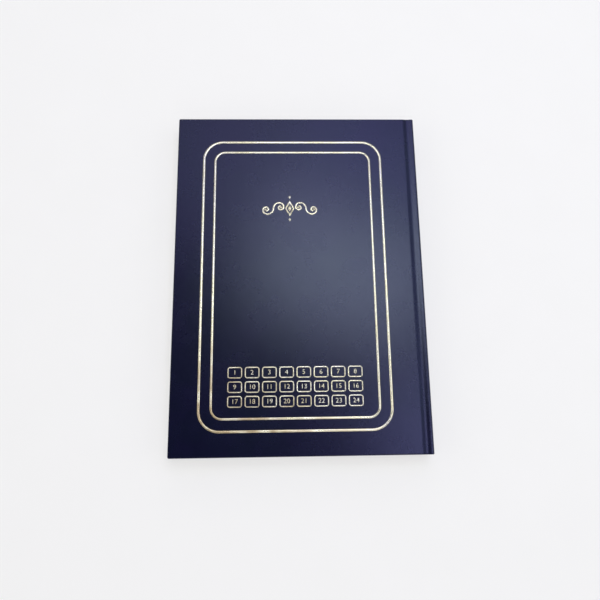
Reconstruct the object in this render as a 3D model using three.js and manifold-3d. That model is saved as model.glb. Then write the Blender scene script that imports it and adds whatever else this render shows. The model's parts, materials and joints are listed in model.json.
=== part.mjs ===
// A case-bound A4 log book, lying closed on its rear cover.
// Millimetres. +X points to the spine, +Y to the head and +Z out of the front cover.
// The origin is on the rear cover's outer face, under the middle of the book.
import * as THREE from "three";
import { mergeVertices } from "three/addons/utils/BufferGeometryUtils.js";
import Module from "manifold-3d";

const wasm = await Module();
wasm.setup();

// The leaves and the sections that they are folded into
const leafWidth = 210;
const leafHeight = 297;
const leafThickness = 0.11;
const leavesPerSection = 10;
const sectionCount = 10;
const endpaperThickness = 0.2;
const foldSteps = 8;

// The case
const boardThickness = 2.5;
const spineBoardThickness = 1.8;
const clothThickness = 0.4;
const headSquare = 3;
const foreEdgeSquare = 3.2;
const turnInWidth = 15;
const mitreSlit = 0.4;
const coverCornerRadius = 1.4;
const clothEdgeRadius = 0.6;
const boardEdgeRadius = 0.25;
const spineEdgeRadius = 1.3;
const grooveWidth = 7.8;
const grooveFilletRadius = 1.2;
const grooveFloorWidth = 2.6;
const grooveRim = 0.5;

// What holds the leaves to the case
const mullThickness = 0.25;
const mullFlapWidth = 25;
const mullInset = 1;
const liningThickness = 0.3;
const liningInset = 3;
const hollowGap = 0.12;
const threadDiameter = 0.5;
const threadSides = 6;
const threadStepsPerSection = 3;
const linkStitchCount = 4;
const linkStitchSwing = 1.6;
const kettleSwing = 0.7;
const kettleInset = 2;
const bandBeadDiameter = 1.5;
const bandTongueThickness = 0.4;
const bandTongueLength = 9;
const bandSteps = 8;
const pastedownMargin = 3.5;

// Clearances
const layerGap = 0.03;
const threadGap = 0.06;
const jointGap = 0.3;
const hingeLift = 0.25;

// Depths below a cover's outer face, going in towards the leaves
const boardOuter = clothThickness + layerGap;
const boardInner = boardOuter + boardThickness;
const turnInOuter = boardInner + layerGap;
const turnInInner = turnInOuter + clothThickness;
const pastedownOuter = turnInInner + layerGap;
const coverThickness = pastedownOuter + endpaperThickness;
const flyleafOuter = coverThickness + layerGap;
const blockOuter = flyleafOuter + endpaperThickness + layerGap;

// Heights of the closed book
const sectionThickness = leavesPerSection * leafThickness;
const sectionPitch = sectionThickness + layerGap;
const blockThickness = sectionCount * sectionPitch - layerGap;
const bookThickness = 2 * blockOuter + blockThickness;

// Distances in from the spine's outer face
const spineBoardInner = clothThickness + layerGap + spineBoardThickness;
const spineTurnInInner = spineBoardInner + layerGap + clothThickness;
const liningOuter = spineTurnInInner + hollowGap;
const mullOuter = liningOuter + liningThickness + layerGap;
const threadOuter = mullOuter + mullThickness + threadGap;
const foldInset = threadOuter + threadDiameter + threadGap;

// Places across the book
const coverWidth = foreEdgeSquare + leafWidth + foldInset;
const coverHeight = leafHeight + 2 * headSquare;
const spineX = coverWidth / 2;
const foreEdgeX = -coverWidth / 2;
const foldX = spineX - foldInset;
const hingeX = spineX - spineBoardInner - jointGap / 2;
const jointEndX = hingeX - jointGap / 2;
const boardEdgeX = spineX - spineBoardInner - grooveWidth;
const turnInEndY = coverHeight / 2 - turnInWidth;
const kettleY = turnInEndY - mullInset - kettleInset;

const cloth = new THREE.MeshStandardMaterial({ color: 0x14173a, roughness: 0.45 });
const greyBoard = new THREE.MeshStandardMaterial({ color: 0x8c8478, roughness: 0.95 });
const paper = new THREE.MeshStandardMaterial({ color: 0xf1ede2, roughness: 0.9 });
const endpaper = new THREE.MeshStandardMaterial({ color: 0xf4f2ec, roughness: 0.85 });
const gauze = new THREE.MeshStandardMaterial({ color: 0xe3dccb, roughness: 1 });
const kraft = new THREE.MeshStandardMaterial({ color: 0xa98660, roughness: 0.95 });
const thread = new THREE.MeshStandardMaterial({ color: 0xf2ecdd, roughness: 0.8 });
const bandCloth = new THREE.MeshStandardMaterial({ color: 0x23306e, roughness: 0.8 });

function named(name, geometry, material) {
  const mesh = new THREE.Mesh(geometry, material);
  mesh.name = name;
  return mesh;
}

// A geometry as a solid that can be joined and cut
function solid(geometry) {
  const bare = geometry.index ? geometry.toNonIndexed() : geometry.clone();
  bare.deleteAttribute("normal");
  bare.deleteAttribute("uv");
  const merged = mergeVertices(bare, 1e-4);
  return new wasm.Manifold(
    new wasm.Mesh({
      numProp: 3,
      vertProperties: merged.attributes.position.array,
      triVerts: new Uint32Array(merged.index.array),
    }),
  );
}

function geometryOf(body) {
  const mesh = body.getMesh();
  const geometry = new THREE.BufferGeometry();
  geometry.setAttribute("position", new THREE.BufferAttribute(mesh.vertProperties, 3));
  geometry.setIndex(new THREE.BufferAttribute(mesh.triVerts, 1));
  geometry.computeVertexNormals();
  return geometry;
}

// A plain block between two corners
function block(x0, x1, y0, y1, z0, z1) {
  const geometry = new THREE.BoxGeometry(x1 - x0, y1 - y0, z1 - z0);
  return geometry.translate((x0 + x1) / 2, (y0 + y1) / 2, (z0 + z1) / 2);
}

// A flat rectangle with round corners, drawn counter-clockwise
function roundedRectangle(x0, x1, y0, y1, radius) {
  const shape = new THREE.Shape();
  shape.moveTo(x0 + radius, y0);
  shape.lineTo(x1 - radius, y0);
  shape.absarc(x1 - radius, y0 + radius, radius, -Math.PI / 2, 0);
  shape.lineTo(x1, y1 - radius);
  shape.absarc(x1 - radius, y1 - radius, radius, 0, Math.PI / 2);
  shape.lineTo(x0 + radius, y1);
  shape.absarc(x0 + radius, y1 - radius, radius, Math.PI / 2, Math.PI);
  shape.lineTo(x0, y0 + radius);
  shape.absarc(x0 + radius, y0 + radius, radius, Math.PI, 1.5 * Math.PI);
  return shape;
}

// A plate with rounded edges all round, from height z0 up to z1
function softPlate(x0, x1, y0, y1, z0, z1, cornerRadius, edgeRadius) {
  const shape = roundedRectangle(
    x0 + edgeRadius,
    x1 - edgeRadius,
    y0 + edgeRadius,
    y1 - edgeRadius,
    cornerRadius,
  );
  const plate = new THREE.ExtrudeGeometry(shape, {
    depth: z1 - z0 - 2 * edgeRadius,
    curveSegments: 4,
    bevelThickness: edgeRadius,
    bevelSize: edgeRadius,
    bevelSegments: 3,
  });
  return plate.translate(0, 0, z0 + edgeRadius);
}

// A profile drawn across the book, in x and height, pushed along Y and centred on it
function alongY(profile, length) {
  const geometry = new THREE.ExtrudeGeometry(profile, {
    depth: length,
    bevelEnabled: false,
    curveSegments: foldSteps,
  });
  return geometry.rotateX(Math.PI / 2).translate(0, length / 2, 0);
}

// A line of points thickened to its right-hand side, as cloth or gauze is
function ribbon(points, thickness) {
  const inner = points.map((point, i) => {
    const before = points[Math.max(i - 1, 0)];
    const after = points[Math.min(i + 1, points.length - 1)];
    const along = after.clone().sub(before).normalize();
    return new THREE.Vector2(point.x + along.y * thickness, point.y - along.x * thickness);
  });
  return new THREE.Shape([...points, ...inner.reverse()]);
}

// One board, with its outer face towards local +Z at a depth of boardOuter
function coverBoard(name) {
  const inset = clothThickness + layerGap;
  const plate = softPlate(
    foreEdgeX + inset,
    boardEdgeX,
    -coverHeight / 2 + inset,
    coverHeight / 2 - inset,
    -boardInner,
    -boardOuter,
    coverCornerRadius,
    boardEdgeRadius,
  );
  return named(name, plate, greyBoard);
}

// The French groove: down off the board's edge, along the floor and up to the spine's shoulder
function grooveProfile() {
  const wallX = boardEdgeX + clothThickness;
  const floor = -(boardInner - clothThickness);
  const fillet = Math.min(grooveFilletRadius, boardThickness / 2);
  const riseX = wallX + fillet + grooveFloorWidth;
  const points = [];
  for (let i = 0; i <= 5; i++) {
    const turn = Math.PI + (i / 5) * (Math.PI / 2);
    points.push(
      new THREE.Vector2(
        wallX + fillet * (1 + Math.cos(turn)),
        floor + fillet * (1 + Math.sin(turn)),
      ),
    );
  }
  const rise = new THREE.CubicBezierCurve(
    new THREE.Vector2(riseX, floor),
    new THREE.Vector2((riseX + jointEndX) / 2, floor),
    new THREE.Vector2((riseX + jointEndX) / 2, -grooveRim),
    new THREE.Vector2(jointEndX, -grooveRim),
  );
  return ribbon([...points, ...rise.getPoints(foldSteps)], clothThickness);
}

// A slit along the mitre where two turn-ins meet at a fore-edge corner
function mitreCut(side) {
  const reach = turnInWidth * Math.SQRT2 + 2;
  const cut = block(-reach / 2, reach / 2, -mitreSlit / 2, mitreSlit / 2, -1, clothThickness + 1);
  const middle = (turnInWidth + clothThickness) / 2;
  return cut
    .rotateZ((-side * Math.PI) / 4)
    .translate(foreEdgeX + middle + 1, side * (coverHeight / 2 - middle - 1), -turnInInner);
}

// The cover cloth: its outer face, edges, mitred turn-ins and the joint groove
function coverCloth(name) {
  const halfHeight = coverHeight / 2;
  const wallX = boardEdgeX + clothThickness;
  const floor = boardInner - clothThickness;
  const flapEndX = jointEndX - jointGap;
  let body = solid(
    softPlate(
      foreEdgeX,
      wallX,
      -halfHeight,
      halfHeight,
      -turnInInner,
      0,
      coverCornerRadius,
      clothEdgeRadius,
    ),
  );
  const pocketX = foreEdgeX + clothThickness;
  const pocketY = halfHeight - clothThickness;
  body = body.subtract(
    solid(block(pocketX, boardEdgeX + layerGap, -pocketY, pocketY, -turnInOuter, -clothThickness)),
  );
  body = body.subtract(
    solid(
      block(
        foreEdgeX + turnInWidth,
        wallX + jointGap,
        -turnInEndY,
        turnInEndY,
        -turnInInner - 1,
        -turnInOuter,
      ),
    ),
  );
  for (const side of [-1, 1]) {
    body = body.subtract(solid(mitreCut(side)));
  }
  body = body.add(solid(alongY(grooveProfile(), coverHeight)));
  for (const side of [-1, 1]) {
    const outerY = side * halfHeight;
    const capY = side * (halfHeight - clothThickness);
    const flapY = side * turnInEndY;
    const startX = boardEdgeX + clothThickness / 2;
    const flap = block(
      startX,
      flapEndX,
      Math.min(outerY, flapY),
      Math.max(outerY, flapY),
      -turnInInner,
      -turnInOuter,
    );
    const cap = block(
      startX,
      wallX + grooveFilletRadius + grooveFloorWidth,
      Math.min(outerY, capY),
      Math.max(outerY, capY),
      -turnInInner,
      -floor - clothThickness / 2,
    );
    body = body.add(solid(flap)).add(solid(cap));
  }
  return named(name, geometryOf(body), cloth);
}

// The half of the mull that is glued to a board, under the pastedown
function mullFlap(name) {
  const halfHeight = turnInEndY - mullInset;
  const flap = block(
    boardEdgeX - mullFlapWidth,
    jointEndX - jointGap,
    -halfHeight,
    halfHeight,
    -turnInOuter - mullThickness,
    -turnInOuter,
  );
  return named(name, flap, gauze);
}

// The pastedown steps down off the turn-ins and the mull on to the bare board
function pastedown(name) {
  const step = jointGap;
  const wall = endpaperThickness;
  const x0 = foreEdgeX + turnInWidth + step;
  const x1 = boardEdgeX - mullFlapWidth - step;
  const y1 = turnInEndY - step;
  const edgeY = coverHeight / 2 - pastedownMargin;
  const sheet = solid(
    block(
      foreEdgeX + pastedownMargin,
      jointEndX - jointGap,
      -edgeY,
      edgeY,
      -coverThickness,
      -pastedownOuter,
    ),
  );
  const lowered = solid(block(x0, x1, -y1, y1, -coverThickness, -turnInOuter));
  const hollow = solid(
    block(
      x0 + wall,
      x1 - wall,
      -y1 + wall,
      y1 - wall,
      -coverThickness - 1,
      -turnInOuter - endpaperThickness,
    ),
  );
  return named(name, geometryOf(sheet.add(lowered).subtract(hollow)), endpaper);
}

function flyleaf(name) {
  const sheet = block(
    foldX - leafWidth,
    foldX,
    -leafHeight / 2,
    leafHeight / 2,
    -flyleafOuter - endpaperThickness,
    -flyleafOuter,
  );
  return named(name, sheet, endpaper);
}

// One side of the case with its endpapers, its outer face at local height 0
function coverSide(side) {
  const group = new THREE.Group();
  group.add(coverCloth(side + "_cover_cloth"));
  group.add(coverBoard(side + "_board"));
  group.add(mullFlap(side + "_mull_flap"));
  group.add(pastedown(side + "_pastedown"));
  group.add(flyleaf(side + "_flyleaf"));
  return group;
}

// A section of folded sheets: a slab whose spine side is a half-round fold
function sectionProfile() {
  const radius = sectionThickness / 2;
  const shape = new THREE.Shape();
  shape.moveTo(-leafWidth, 0);
  shape.lineTo(-radius, 0);
  shape.absarc(-radius, radius, radius, -Math.PI / 2, Math.PI / 2);
  shape.lineTo(-leafWidth, sectionThickness);
  return shape;
}

function sections() {
  const group = new THREE.Group();
  for (let i = 0; i < sectionCount; i++) {
    const number = String(i + 1).padStart(2, "0");
    const section = named("section_" + number, alongY(sectionProfile(), leafHeight), paper);
    section.position.set(foldX, 0, bookThickness - blockOuter - i * sectionPitch - sectionThickness);
    group.add(section);
  }
  return group;
}

// A thread that climbs the folds from the last section to the first, swinging from side to side
function stitch(name, y, swing) {
  const points = [];
  for (let i = 0; i < sectionCount; i++) {
    const height = blockOuter + sectionThickness / 2 + i * sectionPitch;
    points.push(new THREE.Vector3(0, (i % 2 ? 1 : -1) * swing, height));
  }
  const path = new THREE.CatmullRomCurve3(points, false, "centripetal");
  const outline = new THREE.Shape();
  outline.absarc(0, 0, threadDiameter / 2, 0, 2 * Math.PI);
  const tube = new THREE.ExtrudeGeometry(outline, {
    steps: (sectionCount - 1) * threadStepsPerSection,
    extrudePath: path,
    curveSegments: threadSides / 2,
  });
  const mesh = named(name, tube, thread);
  mesh.position.set(foldX + threadGap + threadDiameter / 2, y, 0);
  return mesh;
}

function sewing() {
  const group = new THREE.Group();
  group.add(stitch("head_kettle_stitch", kettleY, kettleSwing));
  group.add(stitch("tail_kettle_stitch", -kettleY, kettleSwing));
  const spacing = (2 * kettleY) / (linkStitchCount + 1);
  for (let i = 0; i < linkStitchCount; i++) {
    group.add(stitch("link_stitch_" + (i + 1), kettleY - (i + 1) * spacing, linkStitchSwing));
  }
  return group;
}

// A worked band: a bead over the leaves' ends and a tongue glued down the spine
function endBand(name, end) {
  const radius = bandBeadDiameter / 2;
  const backX = foldX + threadGap + bandTongueThickness;
  const foot = leafHeight / 2 + layerGap;
  const shape = new THREE.Shape();
  shape.moveTo(backX, leafHeight / 2 - bandTongueLength);
  shape.lineTo(backX, foot + radius);
  shape.absarc(backX - radius, foot + radius, radius, 0, Math.PI);
  shape.lineTo(backX - 2 * radius, foot);
  shape.lineTo(backX - bandTongueThickness, foot);
  shape.lineTo(backX - bandTongueThickness, leafHeight / 2 - bandTongueLength);
  const geometry = new THREE.ExtrudeGeometry(shape, {
    depth: blockThickness,
    bevelEnabled: false,
    curveSegments: bandSteps,
  });
  const band = named(name, geometry, bandCloth);
  band.position.z = end > 0 ? blockOuter : blockOuter + blockThickness;
  band.rotation.x = end > 0 ? 0 : Math.PI;
  return band;
}

function spineMull() {
  const halfHeight = turnInEndY - mullInset;
  const outerX = spineX - mullOuter;
  const sheet = block(
    outerX - mullThickness,
    outerX,
    -halfHeight,
    halfHeight,
    blockOuter,
    blockOuter + blockThickness,
  );
  return named("spine_mull", sheet, gauze);
}

function spineLining() {
  const halfHeight = leafHeight / 2 - liningInset;
  const outerX = spineX - liningOuter;
  const sheet = block(
    outerX - liningThickness,
    outerX,
    -halfHeight,
    halfHeight,
    blockOuter,
    blockOuter + blockThickness,
  );
  return named("spine_lining", sheet, kraft);
}

function spineBoard() {
  const inset = clothThickness + layerGap;
  const strip = block(
    spineX - spineBoardInner,
    spineX - inset,
    -coverHeight / 2 + inset,
    coverHeight / 2 - inset,
    inset,
    bookThickness - inset,
  );
  return named("spine_board", strip, greyBoard);
}

// The spine cloth: round the strip's outer face and over both ends, where it is turned in
function spineCloth() {
  const rimX = spineX - spineBoardInner;
  const radius = Math.min(spineEdgeRadius, spineBoardInner - 0.1, bookThickness / 3);
  const outer = new THREE.Shape();
  outer.moveTo(rimX, 0);
  outer.lineTo(spineX - radius, 0);
  outer.absarc(spineX - radius, radius, radius, -Math.PI / 2, 0);
  outer.lineTo(spineX, bookThickness - radius);
  outer.absarc(spineX - radius, bookThickness - radius, radius, 0, Math.PI / 2);
  outer.lineTo(rimX, bookThickness);
  const halfHeight = coverHeight / 2;
  let body = solid(alongY(outer, coverHeight));
  body = body.subtract(
    solid(
      block(
        rimX - 1,
        spineX - clothThickness,
        -halfHeight + clothThickness,
        halfHeight - clothThickness,
        clothThickness,
        bookThickness - clothThickness,
      ),
    ),
  );
  const low = coverThickness + jointGap;
  const high = bookThickness - coverThickness - jointGap;
  for (const side of [-1, 1]) {
    const outerY = side * halfHeight;
    const capY = side * (halfHeight - clothThickness);
    const flapY = side * turnInEndY;
    const flapX = rimX - layerGap - clothThickness;
    const flap = block(
      flapX,
      rimX - layerGap,
      Math.min(outerY, flapY),
      Math.max(outerY, flapY),
      low,
      high,
    );
    const cap = block(
      flapX,
      rimX + clothThickness,
      Math.min(outerY, capY),
      Math.max(outerY, capY),
      low,
      high,
    );
    body = body.add(solid(flap)).add(solid(cap));
  }
  return named("spine_cloth", geometryOf(body), cloth);
}

// The leaves and the spine, which the covers hang on
function textBlock() {
  const group = new THREE.Group();
  group.add(sections());
  group.add(sewing());
  group.add(endBand("headband", 1));
  group.add(endBand("tailband", -1));
  group.add(spineMull());
  group.add(spineLining());
  group.add(spineBoard());
  group.add(spineCloth());
  return group;
}

const book = new THREE.Group();
const frontCover = coverSide("front");
frontCover.position.z = bookThickness;
const rearCover = coverSide("rear");
rearCover.rotation.x = Math.PI;
book.add(frontCover, rearCover, textBlock());

// The lines that the covers and the leaves turn about, which record.json repeats in metres
console.log("covers turn at x", hingeX, "z", bookThickness + hingeLift, -hingeLift);
console.log("leaves turn at x", foldX, "z", bookThickness - flyleafOuter, flyleafOuter);

export default book;
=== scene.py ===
# %% [markdown]
# # A case-bound log book
# This lesson dresses a packed model of a hardcover log book. The book is made as a binder makes
# one: folded sheets are sewn into a block, endpapers join the block to two cloth-covered boards,
# and a design is stamped on the front in foil. The packed model gives every size and every hinge,
# so it is loaded first, and each new piece goes where its packed node says.

# %% Load the packed model
import json
import math
import random

import bmesh
import bpy
from mathutils import Matrix, Vector


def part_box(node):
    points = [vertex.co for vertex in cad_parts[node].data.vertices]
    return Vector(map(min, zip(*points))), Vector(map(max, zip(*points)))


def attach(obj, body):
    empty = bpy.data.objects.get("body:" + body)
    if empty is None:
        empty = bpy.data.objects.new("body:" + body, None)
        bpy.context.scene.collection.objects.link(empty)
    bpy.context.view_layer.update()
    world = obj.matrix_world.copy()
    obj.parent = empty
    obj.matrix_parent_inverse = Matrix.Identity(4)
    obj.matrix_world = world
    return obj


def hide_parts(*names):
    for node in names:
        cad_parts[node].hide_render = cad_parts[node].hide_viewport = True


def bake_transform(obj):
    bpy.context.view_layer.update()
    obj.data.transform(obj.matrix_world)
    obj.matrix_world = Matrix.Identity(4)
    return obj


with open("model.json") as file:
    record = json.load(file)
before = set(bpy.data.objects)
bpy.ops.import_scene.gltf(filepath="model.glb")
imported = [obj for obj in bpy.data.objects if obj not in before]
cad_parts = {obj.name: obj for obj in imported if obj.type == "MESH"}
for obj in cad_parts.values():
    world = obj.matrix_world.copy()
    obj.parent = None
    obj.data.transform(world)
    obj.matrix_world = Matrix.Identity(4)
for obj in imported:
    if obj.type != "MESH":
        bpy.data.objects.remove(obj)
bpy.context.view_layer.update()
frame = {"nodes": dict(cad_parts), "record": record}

MM = 0.001

# %% [markdown]
# ## Sizes
# A binder measures in millimetres, so the shapes below are drawn in millimetres and scaled once,
# when a piece is finished. The sizes are read from the packed nodes where a node shows them. The
# cloth, the groove and the turn-ins are given by name.

# %% Sizes in millimetres
def node_box(node):
    """A packed node's lowest and highest corner in millimetres."""
    low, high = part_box(node)
    return [c / MM for c in low], [c / MM for c in high]


cover_low, cover_high = node_box("front_cover_cloth")
spine_low, spine_high = node_box("spine_cloth")
flyleaf_low, flyleaf_high = node_box("front_flyleaf")
pastedown_low, pastedown_high = node_box("front_pastedown")
board_low, board_high = node_box("front_board")

book_height = spine_high[2]
middle = book_height / 2
half_length = cover_high[1]
spine_x = spine_high[0]
fore_edge_x = cover_low[0]
board_edge_x = board_high[0]
fold_x = flyleaf_high[0]

cloth_thickness = 0.38
cover_depth = book_height - cover_low[2]
face_sink = 0.03
turn_in = 15.0
groove_depth = 0.42
edge_radius = 0.8
shoulder_radius = 1.3
crest_radius = 0.33
corner_radius = 1.4
rim_depth = 1.7
spine_inner_x = spine_low[0]
joint_start_x, joint_end_x = 105.9, 102.9
paper_joint_x = 104.6
sharp_angle = 1.05
closeness = 0.01
side_names = {1: "front", -1: "rear"}
print("book", [round(c, 2) for c in (2 * half_length, spine_x - fore_edge_x, book_height)], "mm")

# %% [markdown]
# ## From a shape to an object
# Each shape starts as a bmesh, which is Blender's editable mesh. One helper turns it into an
# object: it scales the shape to metres, writes down where each point was at rest, and sets which
# edges look crisp. The rest places are an attribute, so that a pattern stays on the paper or cloth
# when a cover swings open and the points move. Two more helpers give a thin skin its thickness and
# bake a piece's place into its points.

# %% From a shape to an object
def finished_piece(bm, name, material, crisp=40.0, flat_above=None):
    """Makes the object: metres, rest places, crisp edges and material."""
    if flat_above:
        for face in bm.faces:
            face.smooth = face.calc_area() < flat_above and abs(face.normal.y) < 0.999
        for edge in bm.edges:
            edge.smooth = not edge.is_boundary
    else:
        for face in bm.faces:
            face.smooth = True
    mesh = bpy.data.meshes.new(name)
    bm.to_mesh(mesh)
    bm.free()
    places = [c for vert in mesh.vertices for c in vert.co]
    rest = mesh.attributes.new("rest_mm", "FLOAT_VECTOR", "POINT")
    rest.data.foreach_set("vector", places)
    mesh.transform(Matrix.Scale(MM, 4))
    if not flat_above:
        mesh.set_sharp_from_angle(angle=math.radians(crisp))
    mesh.materials.append(material)
    piece = bpy.data.objects.new(name, mesh)
    bpy.context.scene.collection.objects.link(piece)
    return piece


def add_wall(piece, thickness):
    """Gives a skin its thickness, on the side away from its faces."""
    wall = piece.modifiers.new("wall", "SOLIDIFY")
    wall.thickness = thickness * MM
    wall.offset = -1
    wall.use_even_offset = True
    wall.use_quality_normals = True


def bend_at_joint(piece):
    """Bakes a piece's place into its points; it does not make the piece bend."""
    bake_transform(piece)


print("the cloth bends between x", joint_end_x, "and", joint_start_x, "mm")

# %% [markdown]
# ## Helpers for finishes
# A finish is a material made of nodes. One small class stands for a wire between nodes, and
# Python's own signs add the Math nodes, so that a pattern reads like plain arithmetic. Another
# class holds one material and has one method that adds any other node.

# %% A wire between nodes
class Wire:
    """One value that runs between nodes."""

    def __init__(self, finish, socket):
        self.finish = finish
        self.socket = socket

    def maths(self, operation, *values):
        sockets = dict(enumerate(values))
        return self.finish.add("ShaderNodeMath", {"operation": operation}, sockets)

    def __add__(self, other):
        return self.maths("ADD", self, other)

    def __sub__(self, other):
        return self.maths("SUBTRACT", self, other)

    def __rsub__(self, other):
        return self.maths("SUBTRACT", other, self)

    def __mul__(self, other):
        return self.maths("MULTIPLY", self, other)

    def __truediv__(self, other):
        return self.maths("DIVIDE", self, other)

    def __lt__(self, other):
        return self.maths("LESS_THAN", self, other)

    def __gt__(self, other):
        return self.maths("GREATER_THAN", self, other)

    def __abs__(self):
        return self.maths("ABSOLUTE", self)

    def __mod__(self, other):
        return self.maths("FLOORED_MODULO", self, other)

    __radd__ = __add__
    __rmul__ = __mul__

    def ramp(self, start, end):
        """0 up to start, 1 from end on, and a smooth rise between them."""
        values = {"Value": self, "From Min": start, "From Max": end}
        return self.finish.add("ShaderNodeMapRange", {"interpolation_type": "SMOOTHSTEP"}, values)


print("a wire can be used with +, -, *, /, <, >, % and abs")

# %% A finish
class Finish:
    """A material, the nodes in it and its surface."""

    def __init__(self, name):
        self.material = bpy.data.materials.new(name)
        self.material.use_nodes = True
        self.tree = self.material.node_tree
        self.tree.nodes.clear()
        self.output = self.tree.nodes.new("ShaderNodeOutputMaterial")

    def add(self, kind, settings=None, sockets=None, out=0):
        """Adds a node: its settings first, then a value or a wire for each socket."""
        node = self.tree.nodes.new(kind)
        for key, value in (settings or {}).items():
            setattr(node, key, value)
        for key, value in (sockets or {}).items():
            if isinstance(value, Wire):
                self.tree.links.new(value.socket, node.inputs[key])
            else:
                node.inputs[key].default_value = value
        return Wire(self, node.outputs[out])

    def rest_place(self):
        """Where a point was at rest, in millimetres."""
        return self.add("ShaderNodeAttribute", {"attribute_name": "rest_mm"}, out=1)

    def node_place(self):
        """Where a point of a packed node is, in millimetres."""
        place = self.add("ShaderNodeTexCoord", out="Object")
        return self.add("ShaderNodeVectorMath", {"operation": "SCALE"}, {0: place, "Scale": 1 / MM})

    def axes(self, place):
        """The x, y and z of a place."""
        split = self.tree.nodes.new("ShaderNodeSeparateXYZ")
        self.tree.links.new(place.socket, split.inputs[0])
        return [Wire(self, split.outputs[i]) for i in range(3)]

    def noise(self, place, scale, detail=2.0, roughness=0.5, stretch=(1, 1, 1)):
        """Soft random values from 0 to 1, with scale in features per millimetre."""
        if stretch != (1, 1, 1):
            factors = {0: place, 1: stretch}
            place = self.add("ShaderNodeVectorMath", {"operation": "MULTIPLY"}, factors)
        values = {"Vector": place, "Scale": scale, "Detail": detail, "Roughness": roughness}
        return self.add("ShaderNodeTexNoise", None, values)

    def cells(self, place, scale):
        """The distance to the nearest of many scattered points, as grain has."""
        values = {"Vector": place, "Scale": scale}
        return self.add("ShaderNodeTexVoronoi", {"feature": "F1"}, values)

    def blend(self, share, first, second):
        """A colour between two colours."""
        values = {0: share, 6: first, 7: second}
        return self.add("ShaderNodeMix", {"data_type": "RGBA"}, values, out=2)

    def bump(self, height, distance, strength=1.0):
        """A normal from a height, with distance in millimetres."""
        values = {"Height": height, "Distance": distance * MM, "Strength": strength}
        return self.add("ShaderNodeBump", None, values)

    def surface(self, **sockets):
        """The main shader, whose socket names are written with underscores."""
        named = {key.replace("_", " "): value for key, value in sockets.items()}
        shader = self.add("ShaderNodeBsdfPrincipled", None, named)
        self.tree.links.new(shader.socket, self.output.inputs["Surface"])
        print(self.material.name, len(self.tree.nodes), "nodes")
        return self.material


print("a finish has", [name for name in vars(Finish) if not name.startswith("_")])

# %% Screen colours
def colour(red, green, blue):
    """A colour written as a screen shows it, from 0 to 255, as the shader's linear values."""
    linear = []
    for c in (red, green, blue):
        linear.append(((c / 255 + 0.055) / 1.055) ** 2.4 if c > 10 else c / 255 / 12.92)
    return (*linear, 1.0)


print("mid grey on screen is", round(colour(128, 128, 128)[0], 3), "as a linear value")

# %% [markdown]
# ## The camera
# The photograph looks down at the cover from a little below its tail edge. The place, the lens
# and the tilt were found by matching the four corners of the cover.

# %% Camera
def aimed_camera(place, target, roll_degrees, lens):
    """A camera at a place, turned to a target and rolled about its own line of sight."""
    ahead = (Vector(target) - Vector(place)).normalized()
    level = ahead.cross(Vector((0, 0, 1))).normalized()
    upright = level.cross(ahead)
    roll = math.radians(roll_degrees)
    right = math.cos(roll) * level + math.sin(roll) * upright
    up = math.cos(roll) * upright - math.sin(roll) * level
    camera = bpy.data.objects.new("photo_camera", bpy.data.cameras.new("photo_camera"))
    camera.matrix_world = Matrix((
        (right.x, up.x, -ahead.x, place[0] * MM),
        (right.y, up.y, -ahead.y, place[1] * MM),
        (right.z, up.z, -ahead.z, place[2] * MM),
        (0, 0, 0, 1),
    ))
    camera.data.lens = lens
    camera.data.sensor_width = 36
    camera.data.clip_start = 0.01
    bpy.context.scene.collection.objects.link(camera)
    return camera


camera_place = (-14.72, -131.92, 497.15)
camera_target = (1.02, -16.83, 0)
camera_roll, camera_lens = 7.108, 34.21
bpy.context.scene.camera = aimed_camera(camera_place, camera_target, camera_roll, camera_lens)
bpy.context.scene.view_settings.view_transform = "Standard"
print("camera", camera_place, "mm, lens", camera_lens, "mm")

# %% [markdown]
# ## Cover cloth finish
# The cover is a coated leatherette: a very deep navy with a fine pebbled grain, whose satin coat
# gives it most of its lightness where it mirrors a lamp. The grain is two sizes of bump. The colour
# varies a little from place to place, and hands have rubbed the coat along the edges, most of all
# at the corners and at both ends of the spine. Wear is found by distance: it shows only where a
# point is close to the cover's face and close to an end, the fore edge or the spine's shoulder at
# the same time. Inside, a dark seam runs slantwise over each corner, where the two folded-in flaps
# of cloth meet.

# %% Cover cloth finish
def cover_cloth_finish():
    finish = Finish("navy_leatherette")
    place = finish.rest_place()
    x, y, z = finish.axes(place)
    grain = finish.cells(place, 1.9)
    fine_grain = finish.noise(place, 4.5, detail=3)
    mottle = finish.noise(place, 0.045, detail=4, roughness=0.6)
    rub = finish.noise(place, 0.9, detail=5, roughness=0.7)
    to_end = half_length - abs(y)
    to_fore_edge = x - fore_edge_x
    below_face = (middle - face_sink) - abs(z - middle)
    at_face = 1 - below_face.ramp(0.3, 1.5)
    to_edge = to_end.maths("MINIMUM", to_end, to_fore_edge)
    at_edge = 1 - to_edge.ramp(0.2, 1.3)
    at_shoulder = 1 - (spine_x - x).ramp(0.9, 2.2)
    at_corner = 1 - (to_end + to_fore_edge).ramp(1.5, 6.0)
    near_end = 1 - to_end.ramp(5.0, 30.0)
    rubbed = at_face * (at_edge * (0.35 + at_corner) + at_shoulder * (0.25 + near_end))
    worn = rubbed * rub.ramp(0.5, 0.75)
    seam = (1 - abs(to_end - to_fore_edge).ramp(0.05, 0.18)) * (below_face > 3.0)
    drift = finish.noise(place, 0.018, detail=3, roughness=0.6)
    deep = finish.blend(drift.ramp(0.35, 0.65), colour(5, 9, 32), colour(10, 5, 38))
    plain = finish.blend(mottle.ramp(0.3, 0.7) * 0.5, deep, colour(11, 11, 42))
    shade = finish.blend(worn * 0.85, plain, colour(94, 94, 126))
    shade = finish.blend(seam * 0.9, shade, colour(2, 3, 10))
    return finish.surface(
        Base_Color=shade,
        Roughness=0.24 + mottle * 0.06 + worn * 0.25,
        Specular_Tint=(0.66, 0.73, 1.0, 1.0),
        Normal=finish.bump(grain * 0.5 + fine_grain * 0.6 - seam * 3, 0.03, 0.6),
    )


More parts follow.
